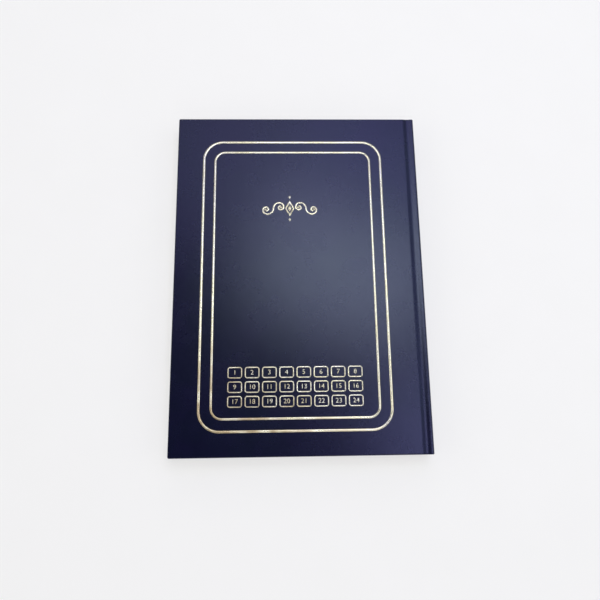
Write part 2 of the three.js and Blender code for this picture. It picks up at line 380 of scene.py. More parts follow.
cover_cloth = cover_cloth_finish()

# %% [markdown]
# ## The cloth case
# On the real book one sheet of cloth covers both boards and the spine strip. It is glued over the
# boards, pressed into a groove beside the spine and folded in round every edge. The way taken
# here follows its section: the outline of one half of the case is drawn across the book, pushed
# along it, rounded at the ends and opened inside, where the boards lie. A wall then makes the skin
# as thick as cloth. Each half is its own piece, because each bends at its own hinge, and they meet
# on the flat of the spine.

# %% Bends and arcs
def bend_points(start, first, second, end, steps):
    """Points of a smooth bend between two places, pulled towards two control places."""
    points = []
    for i in range(steps + 1):
        t = i / steps
        weights = ((1 - t) ** 3, 3 * t * (1 - t) ** 2, 3 * t * t * (1 - t), t ** 3)
        places = (start, first, second, end)
        points.append(tuple(sum(w * p[axis] for w, p in zip(weights, places)) for axis in (0, 1)))
    return points


def arc_points(centre, radius, start, end, steps):
    """Points on an arc, with its angles in degrees."""
    points = []
    for i in range(steps + 1):
        angle = math.radians(start + (end - start) * i / steps)
        points.append((centre[0] + radius * math.cos(angle), centre[1] + radius * math.sin(angle)))
    return points


print("points on a quarter round", len(arc_points((0, 0), 1, 0, 90, 4)))

# %% Outline of half the case
groove_spine_x, groove_board_x = 106.9, 98.4
groove_floor_x = (102.9, 102.6)
groove_ease = 1.4
inside_bend_x = (103.3, 104.5, 105.0)
crest_height = 1.12


def case_outline():
    """Places (x, height over the book's middle) from the spine round the cover and back inside."""
    top = middle - face_sink
    floor = top - groove_depth
    points = [(spine_x, 0)]
    shoulder = (spine_x - shoulder_radius, top - shoulder_radius)
    points += arc_points(shoulder, shoulder_radius, 0, 90, 5)
    slopes = (
        ((groove_spine_x, top), (groove_floor_x[0], floor), 16),
        ((groove_floor_x[1], floor), (groove_board_x, top), 12),
    )
    for start, end, steps in slopes:
        after_start, before_end = (start[0] - groove_ease, start[1]), (end[0] + groove_ease, end[1])
        points += bend_points(start, after_start, before_end, end, steps)
    inner = middle - cover_depth
    points += [(fore_edge_x, top), (fore_edge_x, inner)]
    crest = (spine_inner_x - crest_radius, inner + crest_height)
    slant = crest_radius * math.sqrt(0.5)
    crest_start = (crest[0] - slant, crest[1] + slant)
    start_x, pull_x, rise_x = inside_bend_x
    points += bend_points((start_x, inner), (pull_x, inner), (rise_x, inner + 1.0), crest_start, 8)
    points += arc_points(crest, crest_radius, 135, 0, 4)[1:]
    points += [(spine_inner_x, 0)]
    return points


print("outline points", len(case_outline()))

# %% Where the case is open inside
def inner_faces(bm, side):
    """The faces that look towards the leaves, without those of the rounded rim."""
    found = []
    for face in bm.faces:
        centre = face.calc_center_median()
        inward = side * face.normal.z < -0.02 or face.normal.x < -0.98
        if inward and centre.x > fore_edge_x + 0.5 and abs(centre.y) < half_length - 0.45:
            found.append(face)
    return found


def cut_faces(bm, faces, place, along):
    """Cuts some of the faces along a plane."""
    geometry = [*faces, *{e for f in faces for e in f.edges}, *{v for f in faces for v in f.verts}]
    bmesh.ops.bisect_plane(bm, geom=geometry, plane_co=place, plane_no=along)


def open_inside(bm, side):
    """Takes away the faces where the boards show bare and where the halves meet."""
    turn_in_y, turn_in_x = half_length - turn_in, fore_edge_x + turn_in
    cut_faces(bm, inner_faces(bm, side), (0, turn_in_y, 0), (0, 1, 0))
    cut_faces(bm, inner_faces(bm, side), (0, -turn_in_y, 0), (0, 1, 0))
    cut_faces(bm, inner_faces(bm, side), (turn_in_x, 0, 0), (1, 0, 0))
    meeting = {f for f in bm.faces if all(abs(v.co.z - middle) < closeness for v in f.verts)}
    bare = set()
    for face in inner_faces(bm, side):
        centre = face.calc_center_median()
        if abs(centre.y) < turn_in_y and centre.x > turn_in_x:
            bare.add(face)
    bmesh.ops.delete(bm, geom=list(bare | meeting), context="FACES")
    return len(bare)


print("cloth folded in", turn_in, "mm, boards", round(board_edge_x - board_low[0], 1), "mm wide")

# %% Which edges are rounded
def rim_edges(bm, side, outside):
    """The sharp edges round the cover's face, or those on the side of the leaves."""
    found = []
    for edge in bm.edges:
        cut = all(abs(v.co.z - middle) < closeness for v in edge.verts)
        heights = [side * (v.co.z - middle) for v in edge.verts]
        at_spine = min(v.co.x for v in edge.verts) > spine_x - corner_radius
        outer = min(heights) > middle - rim_depth or at_spine
        if not cut and outer == outside and edge.calc_face_angle(0) > sharp_angle:
            found.append(edge)
    return found


print("edges rounded by", edge_radius, "mm outside and", cloth_thickness, "mm inside")

# %% Half the case as a solid
def push_on(bm, extruded, way):
    """Moves the points that an extrusion has made."""
    made = [v for v in extruded["geom"] if isinstance(v, bmesh.types.BMVert)]
    bmesh.ops.translate(bm, verts=made, vec=way)


def rounded(bm, geometry, radius, steps, affect="EDGES"):
    """Rounds edges, or with VERTICES the corners of a flat shape."""
    bmesh.ops.bevel(
        bm, geom=geometry, offset=radius, offset_type="OFFSET", segments=steps, profile=0.5,
        affect=affect, material=-1,
    )


def case_block(side):
    """Half the case as a solid: its outline, pushed along the book, with round upright corners."""
    bm = bmesh.new()
    corners = [bm.verts.new((x, -half_length, middle + side * h)) for x, h in case_outline()]
    face = bm.faces.new(corners)
    push_on(bm, bmesh.ops.extrude_face_region(bm, geom=[face]), (0, 2 * half_length, 0))
    bmesh.ops.recalc_face_normals(bm, faces=bm.faces[:])
    upright = []
    for edge in bm.edges:
        a, b = (v.co for v in edge.verts)
        at_fore_edge = max(abs(a.x - fore_edge_x), abs(b.x - fore_edge_x)) < closeness
        if at_fore_edge and abs(a.z - b.z) > 1:
            upright.append(edge)
    rounded(bm, upright, corner_radius, 4)
    return bm


half_block = case_block(1)
print("half the case as a solid", len(half_block.faces), "faces")
half_block.free()

# %% Build the two halves of the case
def cut_for_bending(bm):
    """Cuts the cloth near the spine into short faces, because a long face tilts when it bends."""
    for x in (board_edge_x - 0.6, joint_end_x, joint_end_x + 1, joint_start_x - 1, joint_start_x):
        cut_faces(bm, bm.faces[:], (x, 0, 0), (1, 0, 0))
    rows = [row * half_length / 6 for row in range(-5, 6)]
    rows += [sign * (half_length - edge_radius - 0.25) for sign in (-1, 1)]
    for y in rows:
        across = [f for f in bm.faces if f.calc_center_median().x > board_edge_x - 1]
        cut_faces(bm, across, (0, y, 0), (0, 1, 0))


def case_half(side):
    """The cloth of one cover and of half the spine."""
    name = side_names[side] + "_case_cloth"
    bm = case_block(side)
    for outside, radius, steps in ((True, edge_radius, 4), (False, cloth_thickness, 3)):
        rounded(bm, rim_edges(bm, side, outside), radius, steps)
    opened = open_inside(bm, side)
    cut_for_bending(bm)
    bmesh.ops.remove_doubles(bm, verts=bm.verts[:], dist=0.002)
    bmesh.ops.recalc_face_normals(bm, faces=bm.faces[:])
    piece = finished_piece(bm, name, cover_cloth, flat_above=60.0)
    add_wall(piece, cloth_thickness)
    bend_at_joint(piece)
    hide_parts(side_names[side] + "_cover_cloth", "spine_cloth")
    print(name, len(piece.data.polygons), "faces,", opened, "opened inside")


for side in (1, -1):
    case_half(side)

# %% [markdown]
# ## Paper finishes
# The leaves are uncoated ledger paper, cream and matt, ruled in grey-blue with red columns. The
# endpapers are whiter and smoother. The rules are drawn by the distance to the nearest line, and
# they stop short of the page's edges, so that no colour shows on the cut edges. There the leaves'
# edges get fine darker streaks: partly the edges' own tone, partly painted shade in the gaps
# between the leaves.

# %% Finish of the leaves
rule_pitch = 8.0
rules_reach_y, columns_reach_y = 132.0, 138.0
rules_x = (-100.0, 97.0)
wide_column_x = 72.0
column_places = (30.0, -12.0, -54.0)
trimmed_x, trimmed_y = -105.2, 148.3


def leaf_finish():
    finish = Finish("ruled_ledger_paper")
    place = finish.rest_place()
    x, y, _ = finish.axes(place)
    fibre = finish.noise(place, 1.6, detail=4)
    cloud = finish.noise(place, 0.03, detail=3)
    # Fine streaks along the leaves: partly the cut edges' own tone, partly painted shade in the
    # gaps between the leaves.
    streak_and_gap_shade = finish.noise(place, 1.0, detail=5, roughness=0.7, stretch=(0.03, 0.03, 9.0))
    on_page = (abs(y) < rules_reach_y) * (x < rules_x[1]) * (x > rules_x[0])
    across = abs((y + rule_pitch / 2) % rule_pitch - rule_pitch / 2) < 0.14
    columns = abs(x - wide_column_x) < 0.2
    for place_x in column_places:
        columns = columns + (abs(x - place_x) < 0.16)
    paper = finish.blend(cloud.ramp(0.3, 0.7), colour(243, 236, 215), colour(247, 241, 223))
    # Cut edges: darker streaks, partly the edges' own tone and partly painted shade between the
    # leaves.
    edge = finish.blend(streak_and_gap_shade.ramp(0.35, 0.7), colour(228, 218, 192), colour(246, 240, 222))
    past_page = ((abs(y) > trimmed_y) + (x < trimmed_x)).ramp(0.0, 0.5)
    shown = finish.blend(past_page, paper, edge)
    ruled = finish.blend(across * on_page * 0.55, shown, colour(120, 146, 178))
    lined = finish.blend(columns * (abs(y) < columns_reach_y) * 0.6, ruled, colour(186, 72, 70))
    return finish.surface(
        Base_Color=lined,
        Roughness=0.9,
        Specular_IOR_Level=0.3,
        Normal=finish.bump(fibre + streak_and_gap_shade * past_page, 0.02, 0.5),
    )


leaf_paper = leaf_finish()
print("rules", int(2 * rules_reach_y / rule_pitch), "and red lines", len(column_places) + 1)

# %% Finish of the endpapers
def endpaper_finish():
    finish = Finish("white_endpaper")
    place = finish.rest_place()
    fibre = finish.noise(place, 1.2, detail=5)
    cloud = finish.noise(place, 0.05, detail=4)
    shade = finish.blend(cloud * 0.6 + fibre * 0.4, colour(234, 232, 224), colour(241, 240, 234))
    return finish.surface(
        Base_Color=shade,
        Roughness=0.75 + fibre * 0.1,
        Specular_IOR_Level=0.35,
        Normal=finish.bump(fibre, 0.02, 0.4),
    )


endpaper = endpaper_finish()

# %% [markdown]
# ## The sewn sections
# The block is ten sections, and each is five sheets folded in half and laid inside one another,
# which makes ten leaves. Here each sheet is drawn as its fold looks from the head, a long U, and
# pushed along the page. The sheets' edges differ by a few hundredths of a millimetre, as a trimmed
# block's do. Every sheet has close columns of points near the fold, where the outer sections'
# leaves would bend as they fan out after the covers.

# %% One folded sheet
sheets_per_section = 5
leaf_thickness, leaf_pitch = 0.1, 0.11
trim_spread = 0.08
leaf_half_length = 148.5
leaf_edge_x = flyleaf_low[0]
fan_width = 15.0
fan_columns = 10
fanning_sections = (1, 2, 3, 8, 9, 10)


def folded_sheet(top, bottom, inset, rng):
    """One folded sheet: over the top leaf, round the fold and back along the lower leaf."""
    radius = (top - bottom) / 2 - inset
    fold_start = fold_x - (top - bottom) / 2
    centre = (fold_start, (top + bottom) / 2)
    columns = [fold_start - fan_width * i / fan_columns for i in range(fan_columns, 0, -1)]
    upper = [(leaf_edge_x + rng.uniform(0, trim_spread), centre[1] + radius)]
    upper += [(x, centre[1] + radius) for x in columns]
    lower = [(x, centre[1] - radius) for x in reversed(columns)]
    lower += [(leaf_edge_x + rng.uniform(0, trim_spread), centre[1] - radius)]
    chain = upper + arc_points(centre, radius, 90, -90, 6) + lower
    bm = bmesh.new()
    length = leaf_half_length - rng.uniform(0, trim_spread)
    line = [bm.verts.new((x, -length, z)) for x, z in chain]
    edges = [bm.edges.new(pair) for pair in zip(line, line[1:])]
    push_on(bm, bmesh.ops.extrude_edge_only(bm, edges=edges), (0, 2 * length, 0))
    outward = next(f for f in bm.faces if f.calc_center_median().z > centre[1] + radius / 2)
    if outward.normal.z < 0:
        bmesh.ops.reverse_faces(bm, faces=bm.faces[:])
    return bm


print("sheets", 2 * leaf_half_length, "mm long, in sections of", 2 * sheets_per_section, "leaves")

# %% Build the sections
def add_to(target, source):
    """Puts one bmesh's shape into another and frees it."""
    mesh = bpy.data.meshes.new("passing")
    source.to_mesh(mesh)
    source.free()
    target.from_mesh(mesh)
    bpy.data.meshes.remove(mesh)


def sewn_section(number):
    """A section's five sheets as one piece."""
    node = "section_%02d" % number
    low, high = node_box(node)
    rng = random.Random(number)
    bm = bmesh.new()
    for i in range(sheets_per_section):
        add_to(bm, folded_sheet(high[2], low[2], i * leaf_pitch, rng))
    piece = finished_piece(bm, node + "_sheets", leaf_paper)
    add_wall(piece, leaf_thickness)
    if number in fanning_sections:
        bend_at_joint(piece)
    else:
        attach(piece, "text_block")
    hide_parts(node)


for number in range(1, 11):
    sewn_section(number)
print("sections", number)

# %% [markdown]
# ## Endpapers
# An endpaper is one folded sheet, and there is one at each side of the block. One half is the
# flyleaf, which turns freely, and the other half is pasted to the board over the folded-in cloth,
# so it shows a soft step where the cloth ends. It also crosses the joint to the block, where it has
# close columns of points.

# %% Places across the joint
before_joint_x = 96.0
joint_steps = 22
joint_width = paper_joint_x + 0.02 - joint_end_x
joint_columns = [joint_end_x + joint_width * i / joint_steps for i in range(joint_steps + 1)]


def stretched_grid(xs, ys, height=0.0):
    """A flat grid whose columns and rows stand at the given places."""
    bm = bmesh.new()
    bmesh.ops.create_grid(bm, x_segments=len(xs) - 1, y_segments=len(ys) - 1, size=0.5)
    for vert in bm.verts:
        column = round((vert.co.x + 0.5) * (len(xs) - 1))
        row = round((vert.co.y + 0.5) * (len(ys) - 1))
        vert.co = (xs[column], ys[row], height)
    return bm


print("rows of points across", round(joint_width, 2), "mm of joint", len(joint_columns))

# %% The pasted half
gauze_edge_x = 73.2
tray_depth = 0.43
endpaper_thickness = 0.19


def tray_step(distance):
    """A smooth rise from 0 to 1 over the first millimetre past the cloth's folded edge."""
    t = min(max(distance, 0), 1)
    return t * t * (3 - 2 * t)


def pastedown_sheet(side):
    """The pasted half of the endpaper with its strip across the joint."""
    low, high = pastedown_low, pastedown_high
    step_x0, step_x1 = fore_edge_x + turn_in + 0.2, gauze_edge_x
    step_y = half_length - turn_in - 0.2
    ramp = [0, 0.25, 0.5, 0.75, 1.0]
    xs = [low[0]] + [step_x0 + r for r in ramp] + [step_x1 - r for r in reversed(ramp)]
    xs += [before_joint_x] + joint_columns
    ys = [low[1]] + [-step_y + r for r in ramp] + [step_y - r for r in reversed(ramp)] + [high[1]]
    bm = stretched_grid(xs, ys)
    level = low[2]
    for vert in bm.verts:
        x, y = vert.co.x, vert.co.y
        rise = min(tray_step(x - step_x0), tray_step(step_x1 - x), tray_step(step_y - abs(y)))
        vert.co.z = middle + side * (level - middle + tray_depth * rise)
    if side > 0:
        bmesh.ops.reverse_faces(bm, faces=bm.faces[:])
    piece = finished_piece(bm, side_names[side] + "_pastedown_sheet", endpaper)
    add_wall(piece, endpaper_thickness)
    bend_at_joint(piece)
    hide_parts(side_names[side] + "_pastedown")


print("pastedowns", round(pastedown_high[0] - pastedown_low[0], 1), "mm wide")

# %% Build the pastedowns and the flyleaves
def flyleaf_sheet(side):
    """The free half of the endpaper."""
    node = side_names[side] + "_flyleaf"
    low, high = node_box(node)
    xs = [low[0]] + [fold_x - fan_width * i / 12 for i in range(12, -1, -1)]
    ys = [low[1], high[1]]
    outer = high[2] if side > 0 else low[2]
    bm = stretched_grid(xs, ys, outer)
    if side < 0:
        bmesh.ops.reverse_faces(bm, faces=bm.faces[:])
    piece = finished_piece(bm, node + "_sheet", endpaper)
    add_wall(piece, endpaper_thickness)
    bend_at_joint(piece)
    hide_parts(node)


for side in (1, -1):
    pastedown_sheet(side)
    flyleaf_sheet(side)
print("flyleaves", round(fold_x - flyleaf_low[0], 1), "mm wide")

# %% [markdown]
# ## The gauze
# Mull is an open, starched cotton gauze. It is glued over the folds and on to the boards, under the
# endpapers, and holds the block in its case. Here it is three thin sheets: one down the spine, and
# a flap on each side that crosses the joint as the endpaper does. The holes of the weave aren't
# cut. The finish lets light through between the threads, which run along the spine and across it.
# The threads across are found from x and z added up, because one of the two stays the same on each
# sheet.

# %% Finish of the gauze
thread_pitch = 1.1


def gauze_finish():
    finish = Finish("starched_gauze")
    place = finish.rest_place()
    x, y, z = finish.axes(place)
    waver = finish.noise(place, 0.15, detail=2) * 0.8
    across, along = (x + z + waver) / thread_pitch, (y + waver) / thread_pitch
    from_across, from_along = abs(across % 1.0 - 0.5), abs(along % 1.0 - 0.5)
    thread = 1 - from_across.maths("MINIMUM", from_across, from_along).ramp(0.17, 0.21)
    twist = finish.noise(place, 2.5, detail=4, roughness=0.7)
    shade = finish.blend(twist, colour(204, 193, 166), colour(236, 228, 208))
    return finish.surface(
        Base_Color=shade,
        Roughness=0.85 + twist * 0.1,
        Alpha=thread,
        Normal=finish.bump(twist + thread, 0.05, 0.7),
    )


gauze = gauze_finish()
print("threads in 10 mm of gauze", round(10 / thread_pitch))

# %% Build the gauze
gauze_wall = 0.2


def gauze_flap(side):
    """The part of the gauze that lies on a board and crosses the joint."""
    node = side_names[side] + "_mull_flap"
    low, high = node_box(node)
    outer = high[2] - 0.03 if side > 0 else low[2] + 0.03
    xs = [low[0], before_joint_x] + joint_columns + [high[0] - 0.3]
    bm = stretched_grid(xs, [low[1], high[1]], outer)
    if side < 0:
        bmesh.ops.reverse_faces(bm, faces=bm.faces[:])
    piece = finished_piece(bm, node + "_gauze", gauze)
    add_wall(piece, gauze_wall)
    bend_at_joint(piece)
    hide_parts(node)


def gauze_strip(node):
    """The part of the gauze that lies on the folds: a flat sheet turned upright."""
    low, high = node_box(node)
    bm = stretched_grid([low[2], high[2]], [low[1], high[1]], -(low[0] + gauze_wall))
    bmesh.ops.rotate(bm, matrix=Matrix.Rotation(-math.pi / 2, 3, "Y"), verts=bm.verts[:])
    bmesh.ops.reverse_faces(bm, faces=bm.faces[:])
    piece = finished_piece(bm, node + "_gauze", gauze)
    add_wall(piece, gauze_wall)
    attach(piece, "text_block")
    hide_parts(node)
    print("gauze", round(high[1] - low[1], 1), "mm long")


for side in (1, -1):
    gauze_flap(side)
gauze_strip("spine_mull")

# %% [markdown]
# ## The sewing
# Waxed linen thread runs in and out of the folds, and where it comes out it links each section to
# the one below: the chains climb the back of the block in a zigzag. The thread is two plies
# twisted round each other. Each ply is a curve that winds round the zigzag, with a round section.

# %% Finish of the thread
def thread_finish():
    finish = Finish("waxed_linen")
    place = finish.rest_place()
    hair = finish.noise(place, 5.0, detail=4, roughness=0.7)
    soiled = finish.noise(place, 0.4, detail=2)
    shade = finish.blend(soiled * 0.5 + hair * 0.5, colour(206, 194, 166), colour(240, 233, 214))
    relief = finish.bump(hair, 0.02, 0.6)
    return finish.surface(Base_Color=shade, Roughness=0.5 + hair * 0.2, Normal=relief)


linen = thread_finish()

# %% The path of one ply
section_low, section_high = node_box("section_10")
section_steps = 9
section_pitch = (node_box("section_01")[0][2] - section_low[2]) / section_steps
ply_radius = 0.125


def ply_points(x, y, swing, phase):
    """Places of one ply that winds round a zigzag from the last section to the first."""
    bottom = (section_low[2] + section_high[2]) / 2
    steps = section_steps * 16
    points = []
    for i in range(steps + 1):
        beat = math.pi * section_steps * i / steps
        rise, run = section_pitch / math.pi, swing * math.sin(beat)
        length = math.hypot(rise, run)
        turn = math.radians(phase) + beat * 2.5
        out, aside = math.cos(turn) * ply_radius, math.sin(turn) * ply_radius
        point_y = y - swing * math.cos(beat) + aside * rise / length
        point_z = bottom + section_pitch * beat / math.pi - aside * run / length
        points.append((x + out, point_y, point_z))
    return points


print("sections", round(section_pitch, 3), "mm apart")

# %% Build the stitches
def curve_shape(curve):
    """The shape of a curve or a text as a bmesh; the curve itself goes."""
    holder = bpy.data.objects.new("passing", curve)
    bpy.context.scene.collection.objects.link(holder)
    mesh = bpy.data.meshes.new_from_object(holder)
    bm = bmesh.new()
    bm.from_mesh(mesh)
    bpy.data.objects.remove(holder)
    bpy.data.curves.remove(curve)
    bpy.data.meshes.remove(mesh)
    return bm


def stitch(node):
    """A twisted thread in place of one packed stitch."""
    low, high = node_box(node)
    x, y = (low[0] + high[0]) / 2, (low[1] + high[1]) / 2
    swing = (high[1] - low[1]) / 2 - 2 * ply_radius
    bm = bmesh.new()
    for phase in (0, 180):
        curve = bpy.data.curves.new("ply", "CURVE")
        curve.dimensions = "3D"
        curve.bevel_depth = ply_radius
        curve.bevel_resolution = 1
        curve.use_fill_caps = True
        points = ply_points(x, y, swing, phase)
        line = curve.splines.new("POLY")
        line.points.add(len(points) - 1)
        for point, place in zip(line.points, points):
            point.co = (*place, 1)
        add_to(bm, curve_shape(curve))
    bmesh.ops.remove_doubles(bm, verts=bm.verts[:], dist=0.001)
    bmesh.ops.recalc_face_normals(bm, faces=bm.faces[:])
    piece = finished_piece(bm, node + "_thread", linen, crisp=80.0)
    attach(piece, "text_block")
    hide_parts(node)


stitch_nodes = ["head_kettle_stitch", "tail_kettle_stitch"]
stitch_nodes += ["link_stitch_%d" % number for number in (1, 2, 3, 4)]
for node in stitch_nodes:
    stitch(node)
print("stitches", len(stitch_nodes))

# %% [markdown]
# ## The end bands
# A headband is a tape with a bead along one edge. The bead sits on the leaves' ends and hides the
# glue behind the folds, and the rest of the tape is glued down over the folds. Navy and white
# yarns are wound over the bead by turns, so it has a ridge for every yarn. Its section is drawn
# once, pushed through the block's thickness, cut into thin slices, and the bead's points are then
# drawn in between the yarns.

# %% Finish of the end bands
yarn_pitch = 0.6
block_low = section_low[2]


def band_finish():
    finish = Finish("wound_end_band")
    place = finish.rest_place()
    _, y, z = finish.axes(place)
    hair = finish.noise(place, 3.0, detail=4, roughness=0.7, stretch=(1, 1, 4))
    on_bead = abs(y) > leaf_half_length + 0.02
    dark_yarn = ((z - block_low) / (2 * yarn_pitch)) % 1.0 < 0.5
    weave = abs((y / 0.7) % 1.0 - 0.5) * abs((z / 0.7) % 1.0 - 0.5) * 4
    white = finish.blend(hair, colour(206, 200, 186), colour(240, 236, 224))
    navy = finish.blend(hair, colour(20, 27, 78), colour(44, 56, 126))
    shade = finish.blend(dark_yarn * on_bead, white, navy)
    relief = finish.bump(hair * 0.6 + weave * (1 - on_bead), 0.04, 0.6)
    return finish.surface(Base_Color=shade, Roughness=0.6 + hair * 0.2, Normal=relief)


wound_band = band_finish()

# %% Build the end bands
tape_thickness = 0.4


def end_band(node, end):
    """The band at the head (end 1) or the tail (end -1)."""
    low, high = node_box(node)
    radius = (high[0] - low[0]) / 2
    back, foot = high[0], max(abs(low[1]), abs(high[1])) - 2 * radius
    tongue_end = min(abs(low[1]), abs(high[1]))
    centre = Vector((back - radius, end * (foot + radius), 0))
    section = [(back, tongue_end)] + arc_points((back - radius, foot + radius), radius, 0, 180, 12)
    tape_x = back - tape_thickness
    section += [(back - 2 * radius, foot), (tape_x, foot), (tape_x, tongue_end)]
    bm = bmesh.new()
    face = bm.faces.new([bm.verts.new((x, end * y, low[2])) for x, y in section])
    push_on(bm, bmesh.ops.extrude_face_region(bm, geom=[face]), (0, 0, high[2] - low[2]))
    slices = round((high[2] - low[2]) / yarn_pitch * 6)
    long_edges = [e for e in bm.edges if abs(e.verts[0].co.z - e.verts[1].co.z) > 1]
    bmesh.ops.subdivide_edges(bm, edges=long_edges, cuts=slices - 1, use_grid_fill=True)
    bmesh.ops.recalc_face_normals(bm, faces=bm.faces[:])
    for vert in bm.verts:
        out = Vector((vert.co.x, vert.co.y, 0)) - centre
        if abs(out.length - radius) < closeness:
            swell = abs(math.sin(math.pi * (vert.co.z - low[2]) / yarn_pitch)) ** 0.6
            place = centre + out * (0.84 + 0.16 * swell)
            vert.co = (place.x, place.y, vert.co.z)
    piece = finished_piece(bm, node + "_wound", wound_band)
    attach(piece, "text_block")
    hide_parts(node)
    print(node, len(piece.data.polygons), "faces,", round((high[2] - low[2]) / yarn_pitch), "yarns")


end_band("headband", 1)
end_band("tailband", -1)

# %% [markdown]
# ## Foil finish
# The design is hot-stamped foil: a film of metal under a warm lacquer. It is bright where a light
# is mirrored in it and dull where it mirrors the dark, which the metal shader gives by itself.
# Small flecks are missing, where the film didn't take on the grain, and the alpha makes them. At
# the lower left the colour is drawn darker and browner in patches: painted shade, where the foil
# mirrors less light, and the foil is a little rougher there.

# %% Foil finish
def foil_finish():
    finish = Finish("gold_foil")
    place = finish.rest_place()
    x, y, _ = finish.axes(place)
    flecks = finish.noise(place, 1.4, detail=4, roughness=0.7)
    tone = finish.noise(place, 0.05, detail=3)
    # Painted shade: towards the lower left, in patches, the foil's colour is drawn to a darker
    # brown.
    lower_left_region = 1 - (x * 0.6 + y + 120).ramp(-40.0, 60.0)
    painted_shade_lower_left = lower_left_region * finish.noise(place, 0.09, detail=3).ramp(0.3, 0.65)
    clean = finish.blend(tone.ramp(0.35, 0.65), colour(236, 230, 198), colour(246, 243, 224))
    # colour(170, 142, 98) is the painted shade towards the lower left.
    shade = finish.blend(painted_shade_lower_left * 0.75, clean, colour(170, 142, 98))
    taken = flecks.ramp(0.3, 0.36)
    return finish.surface(
        Base_Color=shade,
        Metallic=1.0,
        Roughness=0.2 + flecks * 0.12 + painted_shade_lower_left * 0.1,
        Alpha=taken,
        Normal=finish.bump(flecks, 0.015, 0.4),
    )


gold_foil = foil_finish()

# %% [markdown]
# ## The stamped design
# A frame of two lines with round corners runs round the cover, which is a common ornament. Near
# its foot stand boxes with the plain numbers 1 to 24, and above them a small scroll with a lozenge.
# A ring starts as a flat square, is rounded by bevelling its corners and hollowed by an inset. A
# scroll is a short edge spun in quarter turns. Each design then becomes a film a few hundredths of
# a millimetre thick.

# %% Build the stamped frame
film = 0.024
foil_z = book_height - face_sink + 0.002
frame_x, frame_y = (-85.5, 76.6), (-132.0, 128.5)
frame_gap = 10.2


def hollowed(bm, line):
    """Leaves only a line of the given width along the edge of a flat shape."""
    inner = bm.faces[:]
    bmesh.ops.inset_region(
        bm, faces=inner, thickness=line, use_even_offset=True, use_boundary=True
    )
    bmesh.ops.delete(bm, geom=inner, context="FACES_ONLY")


def stamped_ring(x0, x1, y0, y1, radius, width, steps):
    """A rounded rectangle drawn as a line of the given width."""
    bm = bmesh.new()
    bmesh.ops.create_grid(bm, x_segments=1, y_segments=1, size=0.5)
    bmesh.ops.scale(bm, vec=(x1 - x0, y1 - y0, 1), verts=bm.verts[:])
    bmesh.ops.translate(bm, vec=((x0 + x1) / 2, (y0 + y1) / 2, 0), verts=bm.verts[:])
    rounded(bm, bm.verts[:], radius, steps, "VERTICES")
    hollowed(bm, width)
    return bm


def stamped_piece(bm, name):
    """Lifts a flat design on to the cover and gives it the film's thickness."""
    bmesh.ops.remove_doubles(bm, verts=bm.verts[:], dist=0.02)
    bmesh.ops.dissolve_degenerate(bm, edges=bm.edges[:], dist=0.01)
    bm.normal_update()
    turned = [face for face in bm.faces if face.normal.z < 0]
    bmesh.ops.reverse_faces(bm, faces=turned)
    bmesh.ops.translate(bm, vec=(0, 0, foil_z + film), verts=bm.verts[:])
    piece = finished_piece(bm, name, gold_foil)
    add_wall(piece, film)
    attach(piece, "front_cover")
    print(name, len(piece.data.polygons), "faces")


frame_rings = bmesh.new()
for gap, radius, line, steps in ((0, 18.0, 1.9, 12), (frame_gap, 10.0, 1.7, 10)):
    sides = (frame_x[0] + gap, frame_x[1] - gap, frame_y[0] + gap, frame_y[1] - gap)
    add_to(frame_rings, stamped_ring(*sides, radius, line, steps))
stamped_piece(frame_rings, "foil_frame")

# %% Build the numbered boxes
box_rows, box_columns = 3, 8
box_width, box_height = 12.2, 9.4
box_pitch_x, box_pitch_y = 14.4, 12.0
box_radius, box_line, box_steps = 2.0, 0.8, 4
number_size = 5.6
grid_centre = (-4.5, -95.0)


def number_shape(text, centre, size):
    """A plain number as a flat mesh, centred on a place."""
    curve = bpy.data.curves.new("number", "FONT")
    curve.body = text
    curve.size = size
    curve.align_x = "CENTER"
    curve.align_y = "CENTER"
    curve.resolution_u = 3
    bm = curve_shape(curve)
    bmesh.ops.translate(bm, vec=(*centre, 0), verts=bm.verts[:])
    return bm


boxes, numbers = bmesh.new(), bmesh.new()
for index in range(box_rows * box_columns):
    row, column = divmod(index, box_columns)
    x = grid_centre[0] + (column - (box_columns - 1) / 2) * box_pitch_x
    y = grid_centre[1] - (row - (box_rows - 1) / 2) * box_pitch_y
    sides = (x - box_width / 2, x + box_width / 2, y - box_height / 2, y + box_height / 2)
    add_to(boxes, stamped_ring(*sides, box_radius, box_line, box_steps))
    add_to(numbers, number_shape(str(index + 1), (x, y), number_size))
stamped_piece(boxes, "foil_boxes")
stamped_piece(numbers, "foil_numbers")
print("boxes", box_rows * box_columns)

# %% Lines and lozenges for the ornament
def spiral_line(start, radius, shrink, quarters, width):
    """A line that curls inwards in quarter turns, each tighter than the last, and ends in a dot."""
    bm = bmesh.new()
    ends = [bm.verts.new((start[0] + side * width / 2, start[1], 0)) for side in (-1, 1)]
    last = [*ends, bm.edges.new(ends)]
    centre = Vector((start[0] - radius, start[1], 0))
    for _ in range(quarters):
        turned = bmesh.ops.spin(
            bm, geom=last, cent=centre, axis=(0, 0, 1), angle=math.pi / 2, steps=6
        )
        last = turned["geom_last"]
        tip = sum((v.co for v in last if isinstance(v, bmesh.types.BMVert)), Vector()) / 2
        centre = tip + (centre - tip) * shrink
    dot = bmesh.ops.create_circle(bm, cap_ends=True, segments=16, radius=width * 0.85)
    bmesh.ops.translate(bm, verts=dot["verts"], vec=tip)
    return bm


def copied(source, turn_degrees, scale, place):
    """A copy of a flat shape: scaled, turned and put at a place."""
    bm = source.copy()
    turn = Matrix.Rotation(math.radians(turn_degrees), 3, "Z")
    bmesh.ops.scale(bm, vec=scale, verts=bm.verts[:])
    bmesh.ops.rotate(bm, matrix=turn, verts=bm.verts[:])
    bmesh.ops.translate(bm, vec=(*place, 0), verts=bm.verts[:])
    return bm


